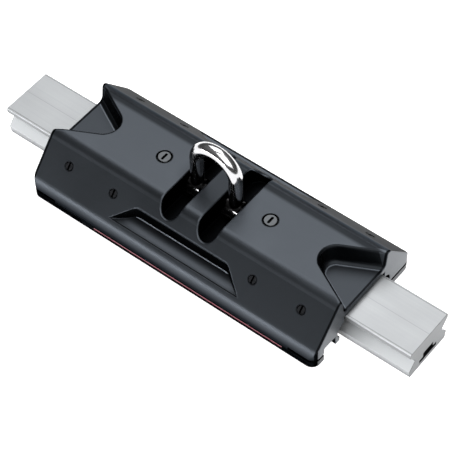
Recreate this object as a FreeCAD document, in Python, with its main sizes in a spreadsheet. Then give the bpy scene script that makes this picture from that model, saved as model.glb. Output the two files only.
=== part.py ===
import FreeCAD, Part
import math
import os
import Sketcher

# A sailing track car: a low black carriage that runs on a grooved rail on recirculating balls,
# with a swinging U-shaped bail in its deck. It is shown on a short length of its rail.
# X runs along the rail, Y across it and Z up. The origin is the centre of the rail's underside.

DOC = FreeCAD.newDocument("track_car")
SHEET = DOC.addObject("Spreadsheet::Sheet", "sizes")

# Driving sizes in millimetres and degrees: the name, the value and what it measures.
# Heights of the carriage are measured from the rail's running top.
DRIVING_SIZES = [
    ("rail_length", 264.0, "length of the rail piece"),
    ("rail_width", 32.0, "width over the rail's two flanges"),
    ("rail_height", 19.5, "rail, underside to running top"),
    ("flange_edge", 3.0, "upright edge of the top flange"),
    ("groove_depth", 4.3, "depth of the ball groove in the rail's side"),
    ("groove_rise", 5.0, "height of each sloping flank of the groove"),
    ("neck_land", 1.6, "flat at the bottom of the groove"),
    ("foot_taper", 0.8, "how far the foot draws in at its underside, each side"),
    ("hollow_floor", 2.6, "wall under the rail's hollow"),
    ("hollow_width", 14.6, "width of the hollow's lower part"),
    ("hollow_step", 2.6, "height of the hollow's lower part"),
    ("hollow_top_width", 8.6, "width of the hollow's upper part"),
    ("hollow_height", 5.9, "height of the whole hollow"),
    ("rail_edge_round", 0.8, "rounding of the rail's long top edges"),
    ("ball_diameter", 9.5, "bearing ball"),
    ("ball_gap", 0.15, "running gap from a ball to the rail and to its race"),
    ("ball_play", 0.08, "least gap between one ball and the next"),
    ("web", 1.2, "wall between the loaded race and the return slot"),
    ("car_length", 186.0, "length of the carriage"),
    ("skirt_width", 8.1, "outer side of the carriage to the return slot"),
    ("corner_round", 5.0, "corner radius of the carriage in plan"),
    ("deck_top", 14.85, "flat top of the deck above the rail"),
    ("deck_gap", 0.8, "running gap between the deck and the rail"),
    ("crease_half", 20.3, "centre line to the crease where the flat top ends"),
    ("facet_drop", 24.0, "drop of the sloping facet from the crease to the side"),
    ("crease_round", 7.0, "radius along the crease"),
    ("side_land", 0.1, "upright left on the side below the rounded shoulder"),
    ("under_drop", 14.0, "rail top down to the carriage's underside"),
    ("lip_drop", 15.6, "rail top down to the tip of the race lip"),
    ("wall_gap", 1.3, "running gap between the rail's edge and the carriage"),
    ("lip_clear", 4.4, "rail's edge to the race lip"),
    ("scoop_floor", 3.5, "floor of the end scoops above the rail"),
    ("scoop_length", 25.0, "end of the carriage to a scoop's rounded apex, at the floor"),
    ("scoop_radius", 7.6, "radius of the apex at the scoop's floor"),
    ("scoop_angle", 27.5, "angle of a scoop's side to the centre line"),
    ("scoop_taper", 7.0, "outward lean of the scoop's walls"),
    ("scoop_fillet", 3.0, "radius between a scoop's wall and its floor"),
    ("scoop_rim_round", 1.5, "rounding of a scoop's upper edge"),
    ("slot_centre", 12.0, "centre to the middle of each bail slot"),
    ("slot_width", 12.4, "width of a bail slot"),
    ("slot_reach", 26.0, "centre line to the end of a bail slot"),
    ("slot_rim_round", 1.0, "rounding of the bail slots' upper edges"),
    ("slot_floor", 1.9, "floor of the bail slots above the rail"),
    ("recess_wall", 28.8, "centre line to the upright wall of the side recess"),
    ("recess_foot", 37.4, "centre line to the lower edge of the side recess"),
    ("recess_upper_half", 29.5, "half length of the side recess at its wall"),
    ("recess_lower_half", 42.3, "half length of the side recess at its lower edge"),
    ("recess_sink", 2.7, "rail top down to the narrow ledge at the foot of that wall"),
    ("recess_ledge", 0.9, "width of that ledge"),
    ("recess_floor_radius", 9.5, "radius of the recess's hollow floor, outside the ledge"),
    ("recess_round", 6.0, "radius of the recess's two upper corners"),
    ("pin_diameter", 7.0, "bail pin"),
    ("pin_end", 6.6, "big screw's axis to the end of the bail pin"),
    ("pin_height", 7.8, "pin axis above the rail"),
    ("pin_gap", 0.04, "running gap round the bail pin"),
    ("pin_end_gap", 0.3, "gap past each end of the bail pin"),
    ("pin_screw_x", 34.4, "centre to each big screw"),
    ("pin_head", 7.2, "head of a big screw"),
    ("pin_head_depth", 2.2, "head height of a big screw"),
    ("pin_shank", 4.0, "shank of a big screw"),
    ("pin_screw_length", 10.2, "length of a big screw"),
    ("pin_head_gap", 0.75, "gap round a big screw's head"),
    ("bail_rod", 7.6, "thickness of the bail's rod"),
    ("bail_spacing", 25.0, "leg to leg of the bail, middle to middle"),
    ("bail_top", 46.0, "top of the bail above the rail"),
    ("eye_diameter", 10.4, "eye at the foot of each leg"),
    ("eye_width", 7.8, "width of an eye along the pin"),
    ("strip_width", 4.0, "width of the race strip"),
    ("strip_height", 5.7, "height of the race strip"),
    ("strip_drop", 5.2, "rail top down to the lower edge of the race strip"),
    ("strip_play", 0.1, "gap round the race strip"),
    ("strip_screw_setback", 17.6, "end of the carriage to the outer pair of small screws"),
    ("strip_screw_pitch", 30.1, "from the outer pair of small screws to the inner pair"),
    ("strip_screw_side", 29.1, "centre line to the small screws' heads"),
    ("strip_head", 4.6, "head of a small screw"),
    ("strip_head_depth", 2.0, "head height of a small screw"),
    ("strip_shank", 2.5, "shank of a small screw"),
    ("strip_screw_length", 12.2, "length of a small screw"),
    ("screw_gap", 0.1, "gap round the small screws and every shank"),
    ("driver_width", 1.0, "width of a small screw's driver slot"),
    ("driver_depth", 0.9, "depth of a small screw's driver slot"),
    ("big_driver_width", 1.4, "width of a big screw's driver slot"),
    ("big_driver_length", 4.8, "length of a big screw's driver slot, which has round ends"),
    ("big_driver_depth", 1.3, "depth of a big screw's driver slot"),
    ("head_chamfer", 0.3, "chamfer round every screw head"),
    ("plate_thickness", 4.0, "thickness of the lower race plates"),
    ("plate_clear", 0.3, "gap between a plate and the race lip"),
    ("toe_clear", 2.0, "gap between the rail's edge and a plate's toes"),
    ("turn_setback", 14.0, "end of the carriage to the centre of a ball turn"),
    ("guide_wall", 0.8, "wall of a turn guide outside the balls"),
    ("guide_roof", 1.0, "roof of a turn guide over the balls"),
    ("guide_play", 0.1, "gap round a turn guide"),
    ("flange_thickness", 1.4, "thickness of a turn guide's flange"),
    ("flange_inset", 0.9, "how far the flange stands back from the outer faces"),
    ("flange_run", 16.3, "length of the flange from the end of the carriage"),
    ("notch_width", 9.4, "width of the service notch in one end of each side"),
    ("notch_drop", 8.7, "rail top down to the roof of the service notch"),
    ("notch_depth", 4.7, "depth of the service notch in the race plate"),
    ("plate_screw_setback", 9.0, "end of the carriage to the first screw under a race plate"),
    ("plate_screw_inset", 3.9, "outer face to the screws under a race plate"),
    ("plate_shank", 3.0, "shank of a plate screw"),
    ("plate_head", 5.8, "countersunk head of a plate screw"),
    ("plate_screw_length", 9.0, "length of a plate screw"),
    ("line_height", 1.2, "height of the pinstripe rebate"),
    ("line_middle", 1.5, "top of a race plate to the middle of the rebate"),
    ("line_depth", 0.4, "depth of the pinstripe rebate"),
    ("line_setback", 35.0, "end of the carriage to the rebate, on the bare side"),
    ("line_setback_far", 20.0, "end of the carriage to the rebate's other end"),
]
PLATE_SCREW_COUNT = 5
BALL_SIDES = 10
BALL_RINGS = [-66.0, -22.0, 22.0, 66.0]
NEAR, FAR = -1, 1
LEFT, RIGHT = -1, 1
SIDE_NAMES = {NEAR: "near", FAR: "far"}
END_NAMES = {LEFT: "left", RIGHT: "right"}


class Size:
    """A length or angle that carries its formula in the sheet beside its present value."""

    def __init__(self, formula, value):
        self.formula = formula
        self.value = value

    def __add__(self, other):
        return join(self, "+", other, self.value + number(other))

    def __sub__(self, other):
        return join(self, "-", other, self.value - number(other))

    def __mul__(self, other):
        return join(self, "*", other, self.value * number(other))

    def __truediv__(self, other):
        return join(self, "/", other, self.value / number(other))

    def __neg__(self):
        return Size("(0 - " + self.formula + ")", -self.value)


def number(thing):
    return thing.value if isinstance(thing, Size) else float(thing)


def formula(thing):
    return thing.formula if isinstance(thing, Size) else repr(float(thing))


def join(left, sign, right, value):
    return Size("(" + formula(left) + " " + sign + " " + formula(right) + ")", value)


def size(alias):
    return Size("sizes." + alias, float(SHEET.get(alias)))


def plain(value):
    return Size(repr(float(value)), float(value))


def root(thing):
    return Size("sqrt(" + formula(thing) + ")", math.sqrt(number(thing)))


def tilt_of(rise, run):
    return Size("atan(" + formula(rise) + " / " + formula(run) + ")",
                math.degrees(math.atan2(number(rise), number(run))))


def sine(angle):
    return Size("sin(" + formula(angle) + " * 1 deg)", math.sin(math.radians(number(angle))))


def cosine(angle):
    return Size("cos(" + formula(angle) + " * 1 deg)", math.cos(math.radians(number(angle))))


def fill_sheet():
    for row, (alias, value, note) in enumerate(DRIVING_SIZES, start=1):
        SHEET.set("A" + str(row), note)
        SHEET.set("B" + str(row), str(value))
        SHEET.setAlias("B" + str(row), alias)
    DOC.recompute()


def bind(thing, path, length):
    thing.setExpression(path, formula(length))


# Bodies, sketches and features

def new_body(label):
    body = DOC.addObject("PartDesign::Body", label)
    body.Label = label
    return body


def new_sketch(body, name, plane, shift=None, tilt=None):
    """A sketch on one of the body's origin planes, moved by shift and turned by tilt about X."""
    sketch = body.newObject("Sketcher::SketchObject", name)
    support = [feature for feature in body.Origin.OriginFeatures if feature.Role == plane][0]
    sketch.AttachmentSupport = (support, [""])
    sketch.MapMode = "FlatFace"
    if tilt is not None:
        sketch.AttachmentOffset = FreeCAD.Placement(
            FreeCAD.Vector(), FreeCAD.Rotation(FreeCAD.Vector(1, 0, 0), number(tilt)))
        bind(sketch, "AttachmentOffset.Rotation.Angle", tilt)
    if shift is not None:
        for axis, length in zip("xyz", shift):
            bind(sketch, "AttachmentOffset.Base." + axis, length)
    return sketch


def place_point(sketch, geometry, point, place):
    """Hold one point of the sketch at its two distances from the sketch's origin."""
    for kind, length in zip(("DistanceX", "DistanceY"), place):
        index = sketch.addConstraint(
            Sketcher.Constraint(kind, -1, 1, geometry, point, number(length)))
        if isinstance(length, Size):
            sketch.setExpression("Constraints[" + str(index) + "]", length.formula)


def place_radius(sketch, geometry, radius):
    index = sketch.addConstraint(Sketcher.Constraint("Radius", geometry, number(radius)))
    sketch.setExpression("Constraints[" + str(index) + "]", formula(radius))


def add_circle(sketch, centre, radius):
    middle = FreeCAD.Vector(number(centre[0]), number(centre[1]), 0)
    circle = Part.Circle(middle, FreeCAD.Vector(0, 0, 1), number(radius))
    index = sketch.addGeometry(circle, False)
    place_point(sketch, index, 3, centre)
    place_radius(sketch, index, radius)


def add_outline(sketch, corners, arcs=None, closed=True):
    """An outline through the corners. arcs gives, for the corner that an arc leaves, the
    arc's centre and radius; the shorter way round is taken. Other corners leave on a line."""
    arcs = arcs or {}
    points = [FreeCAD.Vector(number(u), number(v), 0) for u, v in corners]
    ends = []
    for index in range(len(points) if closed else len(points) - 1):
        start = points[index]
        stop = points[(index + 1) % len(points)]
        if index in arcs:
            centre_place, radius = arcs[index]
            centre = FreeCAD.Vector(number(centre_place[0]), number(centre_place[1]), 0)
            middle = (start + stop) / 2 - centre
            middle.normalize()
            halfway = centre + middle * number(radius)
            geometry = sketch.addGeometry(Part.ArcOfCircle(start, halfway, stop), False)
            place_radius(sketch, geometry, radius)
        else:
            geometry = sketch.addGeometry(Part.LineSegment(start, stop), False)
        begins = sketch.getPoint(geometry, 1).distanceToPoint(start)
        swaps = begins > sketch.getPoint(geometry, 2).distanceToPoint(start)
        ends.append((geometry, 2 if swaps else 1, 1 if swaps else 2))
    for index, (geometry, first, last) in enumerate(ends):
        if closed or index > 0:
            before, before_first, before_last = ends[index - 1]
            sketch.addConstraint(
                Sketcher.Constraint("Coincident", before, before_last, geometry, first))
        place_point(sketch, geometry, first, corners[index])
    if not closed:
        geometry, first, last = ends[-1]
        place_point(sketch, geometry, last, corners[-1])


def box_corners(low_u, low_v, high_u, high_v):
    return [(low_u, low_v), (high_u, low_v), (high_u, high_v), (low_u, high_v)]


def add_box(sketch, low_u, low_v, high_u, high_v):
    add_outline(sketch, box_corners(low_u, low_v, high_u, high_v))


def add_round_slot(sketch, middle, half, reach):
    """A slot with round ends that runs upright in the sketch, reach to either side."""
    straight = reach - half
    corners = [
        (middle + half, straight), (middle, reach), (middle - half, straight),
        (middle - half, -straight), (middle, -reach), (middle + half, -straight),
    ]
    upper = ((middle, straight), half)
    lower = ((middle, -straight), half)
    add_outline(sketch, corners, {0: upper, 1: upper, 3: lower, 4: lower})


def finish(body, feature):
    body.Tip = feature
    DOC.recompute()
    if not feature.isValid():
        raise RuntimeError(feature.Name + " did not build")
    return feature


def pad(body, name, sketch, length, reverse=False):
    feature = body.newObject("PartDesign::Pad", name)
    feature.Profile = sketch
    feature.Reversed = reverse
    bind(feature, "Length", length)
    return finish(body, feature)


def pocket(body, name, sketch, depth, reverse=False, taper=None):
    """A cut of the given depth against the sketch's normal, or along it when reversed."""
    before = body.Shape.Volume
    feature = body.newObject("PartDesign::Pocket", name)
    feature.Profile = sketch
    feature.Reversed = reverse
    bind(feature, "Length", depth)
    if taper is not None:
        bind(feature, "TaperAngle", taper)
    finish(body, feature)
    if body.Shape.Volume > before - 0.01:
        raise RuntimeError(name + " cut nothing")
    return feature


def revolve(body, name, sketch):
    feature = body.newObject("PartDesign::Revolution", name)
    feature.Profile = sketch
    feature.ReferenceAxis = (sketch, ["V_Axis"])
    feature.Angle = 360
    return finish(body, feature)


def round_edges(body, name, test, radius):
    """A fillet on every edge of the body for which test says yes."""
    base = body.Tip
    names = ["Edge" + str(index) for index, edge in enumerate(base.Shape.Edges, start=1)
             if test(edge)]
    feature = body.newObject("PartDesign::Fillet", name)
    feature.Base = (base, names)
    bind(feature, "Radius", radius)
    return finish(body, feature)


def is_line_along(edge, direction):
    if not isinstance(edge.Curve, Part.Line):
        return False
    return abs(edge.tangentAt(edge.FirstParameter).dot(direction)) > 0.999


def near_to(value, target, reach=0.02):
    return abs(value - number(target)) < reach


ALONG = FreeCAD.Vector(1, 0, 0)
UPWARD = FreeCAD.Vector(0, 0, 1)
PAST = 1.0
fill_sheet()

# Derived places, shared by the pieces that meet there

rail_half = size("rail_width") / 2
rail_top = size("rail_height")
ball_radius = size("ball_diameter") / 2
race_radius = ball_radius + size("ball_gap")
flank_length = root(size("groove_rise") * size("groove_rise")
                    + size("groove_depth") * size("groove_depth"))
groove_half = size("groove_rise") + size("neck_land") / 2
race_z = rail_top - size("flange_edge") - groove_half
race_y = (rail_half
          + (race_radius * flank_length - size("groove_depth") * groove_half)
          / size("groove_rise"))
turn_radius = race_radius + size("web") / 2
slot_in = race_y + race_radius + size("web")
slot_out = slot_in + race_radius * 2
turn_y = race_y + turn_radius
car_half = size("car_length") / 2
side_y = slot_out + size("skirt_width")
turn_x = car_half - size("turn_setback")
channel_radius = turn_radius + race_radius
pocket_end = turn_x + channel_radius + size("guide_wall") + size("guide_play")
pocket_side = slot_out + size("guide_wall") + size("guide_play")
pocket_roof = race_z + race_radius + size("guide_roof") + size("guide_play")
deck_z = rail_top + size("deck_top")
ceiling_z = rail_top + size("deck_gap")
under_z = rail_top - size("under_drop")
relief_z = under_z + size("flange_thickness") + size("guide_play")
lip_z = rail_top - size("lip_drop")
wall_y = rail_half + size("wall_gap")
lip_in = rail_half + size("lip_clear")
corner_z = deck_z - size("facet_drop")
facet_run = side_y - size("crease_half")
facet_length = root(facet_run * facet_run + size("facet_drop") * size("facet_drop"))
shoulder_length = corner_z - under_z - size("side_land")
shoulder_radius = shoulder_length * facet_run / (facet_length - size("facet_drop"))
strip_side = wall_y + size("strip_width")
pin_z = rail_top + size("pin_height")
pin_radius = size("pin_diameter") / 2
pin_half = size("pin_screw_x") + size("pin_end")
plate_z = under_z - size("plate_thickness")
plate_in = slot_in + size("plate_clear")
plate_screw_y = side_y - size("plate_screw_inset")
plate_hole = size("plate_shank") / 2 + size("screw_gap")
plate_screw_x = car_half - size("plate_screw_setback")
notch_out = plate_in + size("notch_width")
strip_low = rail_top - size("strip_drop")
return_roof = race_z + race_radius
return_y = turn_y + turn_radius


def facet_height(y):
    """Height of the sloping facet at a distance from the centre line."""
    return deck_z - (y - size("crease_half")) * size("facet_drop") / facet_run


facet_tilt = tilt_of(size("facet_drop"), facet_run)
facet_place = size("strip_screw_side")


def race_rise(y):
    """How far above its own centre the race's arc is at a distance from the centre line."""
    return root(race_radius * race_radius - (y - race_y) * (y - race_y))


# The rail

def make_rail():
    body = new_body("track_rail")
    half = size("rail_length") / 2
    neck = rail_half - size("groove_depth")
    foot_top = rail_top - size("flange_edge") - groove_half * 2
    sketch = new_sketch(body, "rail_section", "YZ_Plane", (plain(0), plain(0), -half))
    right = [
        (rail_half - size("foot_taper"), plain(0)),
        (rail_half, foot_top),
        (neck, foot_top + size("groove_rise")),
        (neck, foot_top + size("groove_rise") + size("neck_land")),
        (rail_half, rail_top - size("flange_edge")),
        (rail_half, rail_top),
    ]
    step_z = size("hollow_floor") + size("hollow_step")
    roof_z = size("hollow_floor") + size("hollow_height")
    hollow = [
        (size("hollow_width") / 2, size("hollow_floor")),
        (size("hollow_width") / 2, step_z),
        (size("hollow_top_width") / 2, step_z),
        (size("hollow_top_width") / 2, roof_z),
    ]
    for half_outline in (right, hollow):
        add_outline(sketch, half_outline + [(-u, v) for u, v in reversed(half_outline)])
    pad(body, "rail_bar", sketch, size("rail_length"))
    round_edges(
        body, "rail_edges",
        lambda edge: is_line_along(edge, ALONG) and near_to(edge.CenterOfMass.z, rail_top),
        size("rail_edge_round"))
    return body


# The carriage

def add_body_section(body):
    sketch = new_sketch(body, "body_section", "YZ_Plane", (plain(0), plain(0), -car_half))
    outer = [
        (size("crease_half"), deck_z),
        (side_y, corner_z),
        (side_y, under_z),
        (slot_in, under_z),
        (slot_in, lip_z),
        (lip_in, lip_z),
        (lip_in, race_z - race_rise(lip_in)),
        (wall_y, race_z + race_rise(wall_y)),
        (wall_y, ceiling_z),
    ]
    arc_from = 6
    corners = outer + [(-u, v) for u, v in reversed(outer)]
    mirrored_arc = len(corners) - 1 - (arc_from + 1)
    arcs = {
        arc_from: ((race_y, race_z), race_radius),
        mirrored_arc: ((-race_y, race_z), race_radius),
    }
    add_outline(sketch, corners, arcs)
    pad(body, "body_bar", sketch, size("car_length"))
    round_edges(
        body, "creases",
        lambda edge: (is_line_along(edge, ALONG) and near_to(edge.CenterOfMass.z, deck_z)
                      and near_to(abs(edge.CenterOfMass.y), size("crease_half"))),
        size("crease_round"))
    round_edges(
        body, "shoulders",
        lambda edge: (is_line_along(edge, ALONG) and near_to(edge.CenterOfMass.z, corner_z)
                      and near_to(abs(edge.CenterOfMass.y), side_y)),
        shoulder_radius)


def rounded_rectangle(half_u, half_v, radius):
    """Corners and arcs of a rectangle with four round corners."""
    corners = []
    arcs = {}
    for turn_u, turn_v in ((1, 1), (-1, 1), (-1, -1), (1, -1)):
        inner = ((half_u - radius) * turn_u, (half_v - radius) * turn_v)
        flat = [(half_u * turn_u, inner[1]), (inner[0], half_v * turn_v)]
        if turn_u != turn_v:
            flat.reverse()
        arcs[len(corners)] = (inner, radius)
        corners += flat
    return corners, arcs


def cut_plan_corners(body, name, low, high):
    """Trim the ends to the carriage's plan outline between two heights."""
    sketch = new_sketch(body, name + "_plan", "XY_Plane", (plain(0), plain(0), high))
    corners, arcs = rounded_rectangle(car_half, side_y, size("corner_round"))
    add_outline(sketch, corners, arcs)
    add_box(sketch, -car_half - PAST, -side_y - PAST, car_half + PAST, side_y + PAST)
    pocket(body, name, sketch, high - low)


def cut_scoops(body):
    """The two end scoops: a rounded apex that opens towards the end of the carriage."""
    floor_z = rail_top + size("scoop_floor")
    height = size("deck_top") - size("scoop_floor") + PAST
    radius = size("scoop_radius")
    lean_in = radius * sine(size("scoop_angle"))
    start_x = car_half - size("scoop_length")
    centre_x = start_x + radius
    tangent_x = centre_x - lean_in
    tangent_y = radius * cosine(size("scoop_angle"))
    mouth_x = car_half + size("corner_round")
    mouth_y = tangent_y + (mouth_x - tangent_x) * sine(size("scoop_angle")) / cosine(
        size("scoop_angle"))
    for end in (LEFT, RIGHT):
        name = "scoop_" + END_NAMES[end]
        sketch = new_sketch(body, name + "_plan", "XY_Plane", (plain(0), plain(0), floor_z))
        corners = [
            (start_x * end, plain(0)),
            (tangent_x * end, tangent_y * end),
            (mouth_x * end, mouth_y * end),
            (mouth_x * end, -mouth_y * end),
            (tangent_x * end, -tangent_y * end),
        ]
        centre = (centre_x * end, plain(0))
        add_outline(sketch, corners, {0: (centre, radius), 4: (centre, radius)})
        pocket(body, name, sketch, height, reverse=True, taper=size("scoop_taper"))

    def meets_floor(edge):
        box = edge.BoundBox
        return (near_to(box.ZMin, floor_z) and near_to(box.ZMax, floor_z)
                and abs(edge.CenterOfMass.x) < number(car_half) - 0.1)

    def is_rim(edge):
        box = edge.BoundBox
        lowest = number(deck_z) - 0.2 * number(size("scoop_rim_round")) - 0.1
        beyond = min(abs(box.XMin), abs(box.XMax)) > number(start_x) - number(radius)
        return (beyond and box.ZMin > lowest
                and max(abs(box.YMin), abs(box.YMax)) < number(size("crease_half")))

    round_edges(body, "scoop_fillets", meets_floor, size("scoop_fillet"))
    round_edges(body, "scoop_rims", is_rim, size("scoop_rim_round"))


def cut_bail_slots(body):
    floor_z = rail_top + size("slot_floor")
    half = size("slot_width") / 2
    sketch = new_sketch(body, "bail_slot_plan", "XY_Plane", (plain(0), plain(0), deck_z))
    for end in (LEFT, RIGHT):
        add_round_slot(sketch, size("slot_centre") * end, half, size("slot_reach"))
    pocket(body, "bail_slots", sketch, deck_z - floor_z)

    def is_rim(edge):
        box = edge.BoundBox
        low, high = sorted((abs(box.XMin), abs(box.XMax)))
        inside = (box.XMin * box.XMax > 0 and low > number(size("slot_centre") - half) - 0.01
                  and high < number(size("slot_centre") + half) + 0.01)
        return inside and box.ZMin > number(floor_z + size("slot_rim_round"))

    round_edges(body, "slot_rims", is_rim, size("slot_rim_round"))


def make_recess_form(side):
    """What is milled out of one facet: a trapezoid in plan over a ledge and a hollow floor."""
    body = new_body("recess_form_" + SIDE_NAMES[side])
    wall = size("recess_wall")
    foot = size("recess_foot")
    upper = size("recess_upper_half")
    lower = size("recess_lower_half")
    reach = foot + PAST
    far_half = lower + (lower - upper) / (foot - wall) * PAST
    plan = new_sketch(body, "plan", "XY_Plane", (plain(0), plain(0), deck_z))
    add_outline(plan, [(upper, wall * side), (far_half, reach * side),
                       (-far_half, reach * side), (-upper, wall * side)])
    depth = size("deck_top") + size("under_drop")
    pad(body, "block", plan, depth, reverse=True)
    round_edges(
        body, "corners",
        lambda edge: (is_line_along(edge, UPWARD) and near_to(abs(edge.CenterOfMass.x), upper)
                      and near_to(abs(edge.CenterOfMass.y), wall)),
        size("recess_round"))

    ledge_z = rail_top - size("recess_sink")
    ledge_out = wall + size("recess_ledge")
    radius = size("recess_floor_radius")
    run = foot - ledge_out
    drop = ledge_z - facet_height(foot)
    chord = root(run * run + drop * drop)
    rise = root(radius * radius - chord * chord / 4)
    centre_y = (ledge_out + foot) / 2 + rise * drop / chord
    centre_z = (ledge_z + facet_height(foot)) / 2 + rise * run / chord
    reach_z = centre_z - root(radius * radius - (reach - centre_y) * (reach - centre_y))
    below = under_z - PAST
    behind = wall - PAST
    floor = new_sketch(body, "floor_section", "YZ_Plane", (plain(0), plain(0), -far_half - PAST))
    corners = [(behind * side, below), (behind * side, ledge_z), (ledge_out * side, ledge_z),
               (reach * side, reach_z), ((reach + PAST) * side, reach_z),
               ((reach + PAST) * side, below)]
    add_outline(floor, corners, {2: ((centre_y * side, centre_z), radius)})
    pocket(body, "floor", floor, (far_half + PAST) * 2, reverse=True)
    return body


def cut_side_recesses(body):
    """A trapezoid recess in each facet, with an upright wall, a ledge and a hollow floor."""
    forms = [make_recess_form(side) for side in (NEAR, FAR)]
    before = body.Shape.Volume
    recesses = body.newObject("PartDesign::Boolean", "side_recesses")
    recesses.setObjects(forms)
    recesses.Type = "Cut"
    finish(body, recesses)
    if body.Shape.Volume > before - 0.01:
        raise RuntimeError("the side recesses cut nothing")


def cut_ball_circuits(body):
    """The rebates for the race strips, the arched return slots and the pockets at the turns."""
    rebate = new_sketch(body, "strip_rebates_section", "YZ_Plane", (plain(0), plain(0), -turn_x))
    inner = wall_y - size("strip_play")
    outer = strip_side + size("strip_play")
    for side in (NEAR, FAR):
        add_box(rebate, inner * side, strip_low - size("strip_play"), outer * side, ceiling_z)
    pocket(body, "strip_rebates", rebate, turn_x * 2, reverse=True)
    slots = new_sketch(body, "return_slots_section", "YZ_Plane", (plain(0), plain(0), -turn_x))
    for side in (NEAR, FAR):
        corners = [
            (slot_in * side, under_z), (slot_in * side, race_z), (return_y * side, return_roof),
            (slot_out * side, race_z), (slot_out * side, under_z),
        ]
        arch = ((return_y * side, race_z), race_radius)
        add_outline(slots, corners, {1: arch, 2: arch})
    pocket(body, "return_slots", slots, turn_x * 2, reverse=True)
    turns = new_sketch(body, "turn_pockets_plan", "XY_Plane", (plain(0), plain(0), lip_z))
    for side in (NEAR, FAR):
        for end in (LEFT, RIGHT):
            add_box(turns, turn_x * end, inner * side, pocket_end * end, pocket_side * side)
    pocket(body, "turn_pockets", turns, pocket_roof - lip_z, reverse=True)


def cut_end_reliefs(body):
    """Room for the turn guides' flanges, and the service notch in one end of each side."""
    relief = new_sketch(body, "flange_reliefs_plan", "XY_Plane", (plain(0), plain(0), under_z))
    flange_in = car_half - size("flange_run") - size("guide_play")
    for side in (NEAR, FAR):
        for end in (LEFT, RIGHT):
            add_box(relief, flange_in * end, slot_in * side,
                    (car_half + PAST) * end, (side_y + PAST) * side)
    pocket(body, "flange_reliefs", relief, relief_z - under_z, reverse=True)
    notch = new_sketch(body, "notches_plan", "XY_Plane", (plain(0), plain(0), under_z))
    for side, end in ((NEAR, RIGHT), (FAR, LEFT)):
        add_box(notch, (pocket_end - size("guide_play")) * end, plate_in * side,
                (car_half + PAST) * end, notch_out * side)
    pocket(body, "notches", notch, rail_top - size("notch_drop") - under_z, reverse=True)


def cut_screw_holes(body):
    """The seat of the bail pin and every screw hole in the carriage."""
    bore = pin_radius + size("pin_gap")
    start = pin_half + size("pin_end_gap")
    seat = new_sketch(body, "pin_seat_section", "YZ_Plane", (plain(0), plain(0), -start))
    corners = [(bore, rail_top), (bore, pin_z), (plain(0), pin_z + bore), (-bore, pin_z),
               (-bore, rail_top)]
    arc = ((plain(0), pin_z), bore)
    add_outline(seat, corners, {1: arc, 2: arc})
    pocket(body, "pin_seat", seat, start * 2, reverse=True)
    heads = new_sketch(body, "pin_heads_plan", "XY_Plane", (plain(0), plain(0), deck_z))
    shanks = new_sketch(body, "pin_shanks_plan", "XY_Plane", (plain(0), plain(0), deck_z))
    for end in (LEFT, RIGHT):
        place = (size("pin_screw_x") * end, plain(0))
        add_circle(heads, place, size("pin_head") / 2 + size("pin_head_gap"))
        add_circle(shanks, place, size("pin_shank") / 2 + size("screw_gap"))
    pocket(body, "pin_heads", heads, size("pin_head_depth") + size("screw_gap"))
    pocket(body, "pin_shanks", shanks, size("deck_top") - size("pin_height"))
    for side in (NEAR, FAR):
        name = "strip_" + SIDE_NAMES[side]
        heads = facet_sketch(body, name + "_heads_plan", side)
        shanks = facet_sketch(body, name + "_shanks_plan", side)
        for x in strip_screw_places():
            add_circle(heads, (x, plain(0)), size("strip_head") / 2 + size("screw_gap"))
            add_circle(shanks, (x, plain(0)), size("strip_shank") / 2 + size("screw_gap"))
        pocket(body, name + "_heads", heads, size("strip_head_depth") + size("screw_gap"))
        pocket(body, name + "_shanks", shanks, size("strip_screw_length") + size("screw_gap"))
    plates = new_sketch(body, "plate_holes_plan", "XY_Plane", (plain(0), plain(0), under_z))
    for side in (NEAR, FAR):
        for x in plate_screw_places():
            add_circle(plates, (x, plate_screw_y * side), plate_hole)
    depth = size("plate_screw_length") - size("plate_thickness") + size("screw_gap") * 3
    pocket(body, "plate_holes", plates, depth, reverse=True)


def facet_sketch(body, name, side):
    """A sketch lying in one sloping facet, level with the row of small screws."""
    return new_sketch(body, name, "XY_Plane", (plain(0), facet_place * side,
                                               facet_height(facet_place)), facet_tilt * -side)


def strip_screw_places():
    outer = car_half - size("strip_screw_setback")
    inner = outer - size("strip_screw_pitch")
    return [-outer, -inner, inner, outer]


def plate_screw_places():
    pitch = plate_screw_x * 2 / (PLATE_SCREW_COUNT - 1)
    return [pitch * index - plate_screw_x for index in range(PLATE_SCREW_COUNT)]


def make_car_body():
    body = new_body("car_body")
    add_body_section(body)
    cut_plan_corners(body, "plan_corners", lip_z - PAST, deck_z)
    cut_scoops(body)
    cut_bail_slots(body)
    cut_side_recesses(body)
    cut_ball_circuits(body)
    cut_end_reliefs(body)
    cut_screw_holes(body)
    return body


# Plates, guides and strips: built on the near side, the far ones are turned half round

def half_turn(body):
    body.Placement = FreeCAD.Placement(FreeCAD.Vector(), FreeCAD.Rotation(UPWARD, 180))


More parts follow.
